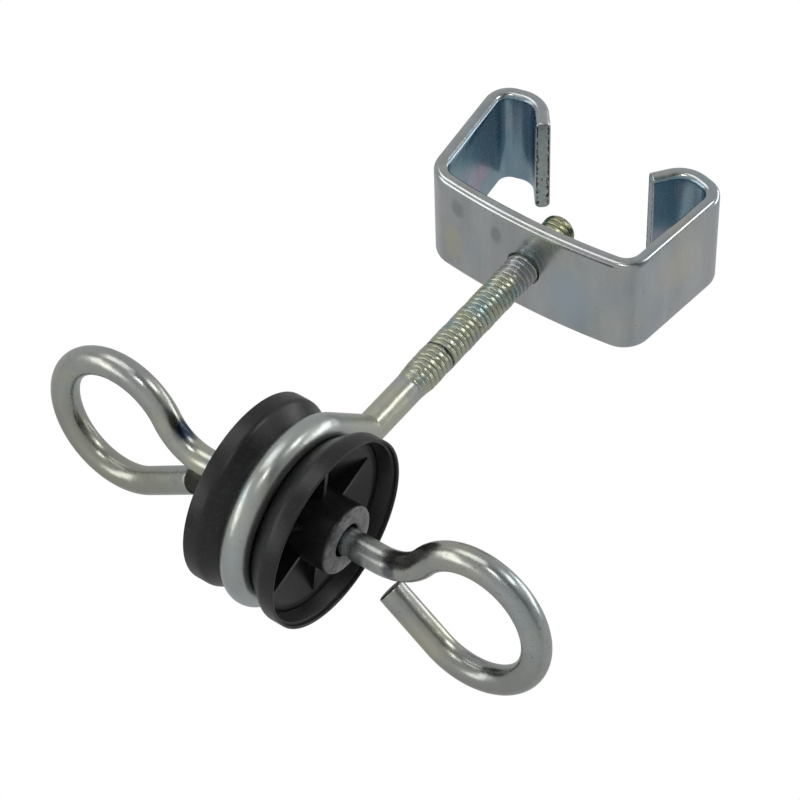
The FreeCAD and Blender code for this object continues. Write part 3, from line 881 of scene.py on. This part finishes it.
# Inside of the channel: the outside's zinc with a darker, bluer base, as painted shade.
shaded_inner_zinc = zinc(
    "zinc_bracket_inside_painted_shade", (0.31, 0.47, 0.57), 0.4, 0.10, 0.5, (0.16, 0.28), streaks=0.26, patches=inner_patches
)
shear = sheared("zinc_sheared_end")
rod_zinc = zinc(
    "zinc_bolt_rod", (0.50, 0.53, 0.51), 0.5, 0.5, 0.12, (0.27, 0.36), wave=0.25, patches=bolt_patches
)
eye_zinc = zinc(
    "zinc_axle_rod", (0.45, 0.465, 0.44), 0.45, 0.5, 0.12, (0.22, 0.32),
    grain=0.00025, speckle=0.6, wave=0.25, patches=axle_patches,
)
thread = thread_zinc("zinc_thread")
plastic = black_plastic("black_moulded_plastic")

bracket = make_bracket([outer_zinc, shaded_inner_zinc, shear])
bolt = make_bolt([rod_zinc, thread])
wheel = make_wheel([plastic])
axle = make_axle([eye_zinc, sawn("sawn_rod_end")])

for piece, body, node, slot in (
    (bracket, "bracket", "clamp_bracket", "bracket_zinc"),
    (bolt, "bolt", "eye_bolt", "bolt_zinc"),
    (wheel, "wheel", "pulley_wheel", "wheel_plastic"),
    (axle, "axle", "axle_rod", "axle_zinc"),
):
    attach(piece, body)
    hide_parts(node)


# ---------------------------------------------------------------- floor, camera and light

CAMERA_PLACE = Vector((280.2, -519.6, -410.7)) * MM
CAMERA_RIGHT = Vector((0.8077, 0.0267, 0.5890)).normalized()
CAMERA_BACK = Vector((0.4047, -0.7517, -0.5208)).normalized()
CAMERA_UP = CAMERA_BACK.cross(CAMERA_RIGHT).normalized()
CAMERA_LENS = 144.54
CAMERA_SENSOR = 36.0
CAMERA_CLIP = (0.01, 20.0)                          # metres
LIGHT_TARGET = Vector((0, 0, -0.045))               # metres, near the object's middle
FLOOR_HALF, FLOOR_HEIGHT = 4.0, -1.15               # metres
FLOOR_GREY = 0.9
ROOM_STOPS = ((0.0, 0.48), (0.45, 0.48), (0.66, 0.32), (0.82, 0.12), (1.0, 0.06))
ROOM_BLUE = 1.01                                    # how much more blue the room's grey holds


def make_camera():
    data = bpy.data.cameras.new("camera")
    data.lens = CAMERA_LENS
    data.sensor_width = CAMERA_SENSOR
    data.clip_start, data.clip_end = CAMERA_CLIP
    camera = bpy.data.objects.new("camera", data)
    turned = Matrix((CAMERA_RIGHT, CAMERA_UP, CAMERA_BACK)).transposed()
    camera.matrix_world = Matrix.Translation(CAMERA_PLACE) @ turned.to_4x4()
    bpy.context.scene.collection.objects.link(camera)
    bpy.context.scene.camera = camera


def soft_box(name, right, up, back, size, power):
    """A rectangular light, placed from the target in metres along the camera's axes and aimed at the target."""
    data = bpy.data.lights.new(name, "AREA")
    data.shape = "RECTANGLE"
    data.size, data.size_y = size
    data.energy = power
    light = bpy.data.objects.new(name, data)
    offset = CAMERA_RIGHT * right + CAMERA_UP * up + CAMERA_BACK * back
    light.location = LIGHT_TARGET + offset
    light.rotation_mode = "QUATERNION"
    light.rotation_quaternion = (-offset).to_track_quat("-Z", "Y")
    bpy.context.scene.collection.objects.link(light)


def make_floor():
    mesh = bpy.data.meshes.new("floor")
    corners = [(x * FLOOR_HALF, y * FLOOR_HALF, FLOOR_HEIGHT) for x, y in ((-1, -1), (1, -1), (1, 1), (-1, 1))]
    mesh.from_pydata(corners, [], [(0, 1, 2, 3)])
    floor = bpy.data.objects.new("floor", mesh)
    material = bpy.data.materials.new("pale_floor")
    material.use_nodes = True
    bsdf = material.node_tree.nodes["Principled BSDF"]
    bsdf.inputs["Base Color"].default_value = (FLOOR_GREY, FLOOR_GREY, FLOOR_GREY, 1)
    bsdf.inputs["Roughness"].default_value = 0.9
    mesh.materials.append(material)
    bpy.context.scene.collection.objects.link(floor)


def make_world():
    """A white studio: plain white to the camera, and in reflections a room that darkens towards its side."""
    world = bpy.data.worlds.new("studio")
    bpy.context.scene.world = world
    world.use_nodes = True
    tree = world.node_tree
    tree.nodes.clear()
    place = add_node(tree, "ShaderNodeTexCoord")
    dot = add_node(tree, "ShaderNodeVectorMath", operation="DOT_PRODUCT")
    tree.links.new(place.outputs["Generated"], dot.inputs[0])
    dot.inputs[1].default_value = (CAMERA_BACK * 0.95 - CAMERA_UP * 0.1 - CAMERA_RIGHT * 0.25).normalized()
    shift = add_node(tree, "ShaderNodeMapRange")
    tree.links.new(dot.outputs["Value"], shift.inputs["Value"])
    shift.inputs["From Min"].default_value = -1.0
    ramp = add_node(tree, "ShaderNodeValToRGB")
    tree.links.new(shift.outputs[0], ramp.inputs[0])
    fill_ramp(ramp, [(position, (level, level, level * ROOM_BLUE)) for position, level in ROOM_STOPS])
    room = add_node(tree, "ShaderNodeBackground")
    tree.links.new(ramp.outputs[0], room.inputs["Color"])
    white = add_node(tree, "ShaderNodeBackground")
    white.inputs["Color"].default_value = (1, 1, 1, 1)
    path = add_node(tree, "ShaderNodeLightPath")
    mix = add_node(tree, "ShaderNodeMixShader")
    tree.links.new(path.outputs["Is Camera Ray"], mix.inputs[0])
    tree.links.new(room.outputs[0], mix.inputs[1])
    tree.links.new(white.outputs[0], mix.inputs[2])
    out = add_node(tree, "ShaderNodeOutputWorld")
    tree.links.new(mix.outputs[0], out.inputs[0])


make_camera()
make_floor()
make_world()
soft_box("key_light", -0.35, 0.85, 0.45, (0.7, 0.5), 1.7)
soft_box("side_light", -0.9, 0.1, 0.35, (0.35, 0.8), 1.5)
soft_box("front_light", -0.12, 0.42, 0.95, (0.22, 0.16), 0.8)
soft_box("shank_light", 0.61, 0.64, 0.46, (0.22, 0.3), 0.9)
soft_box("rim_light", 0.8, 0.35, -0.2, (0.3, 0.7), 1.5)
bpy.context.scene.view_settings.view_transform = "Standard"
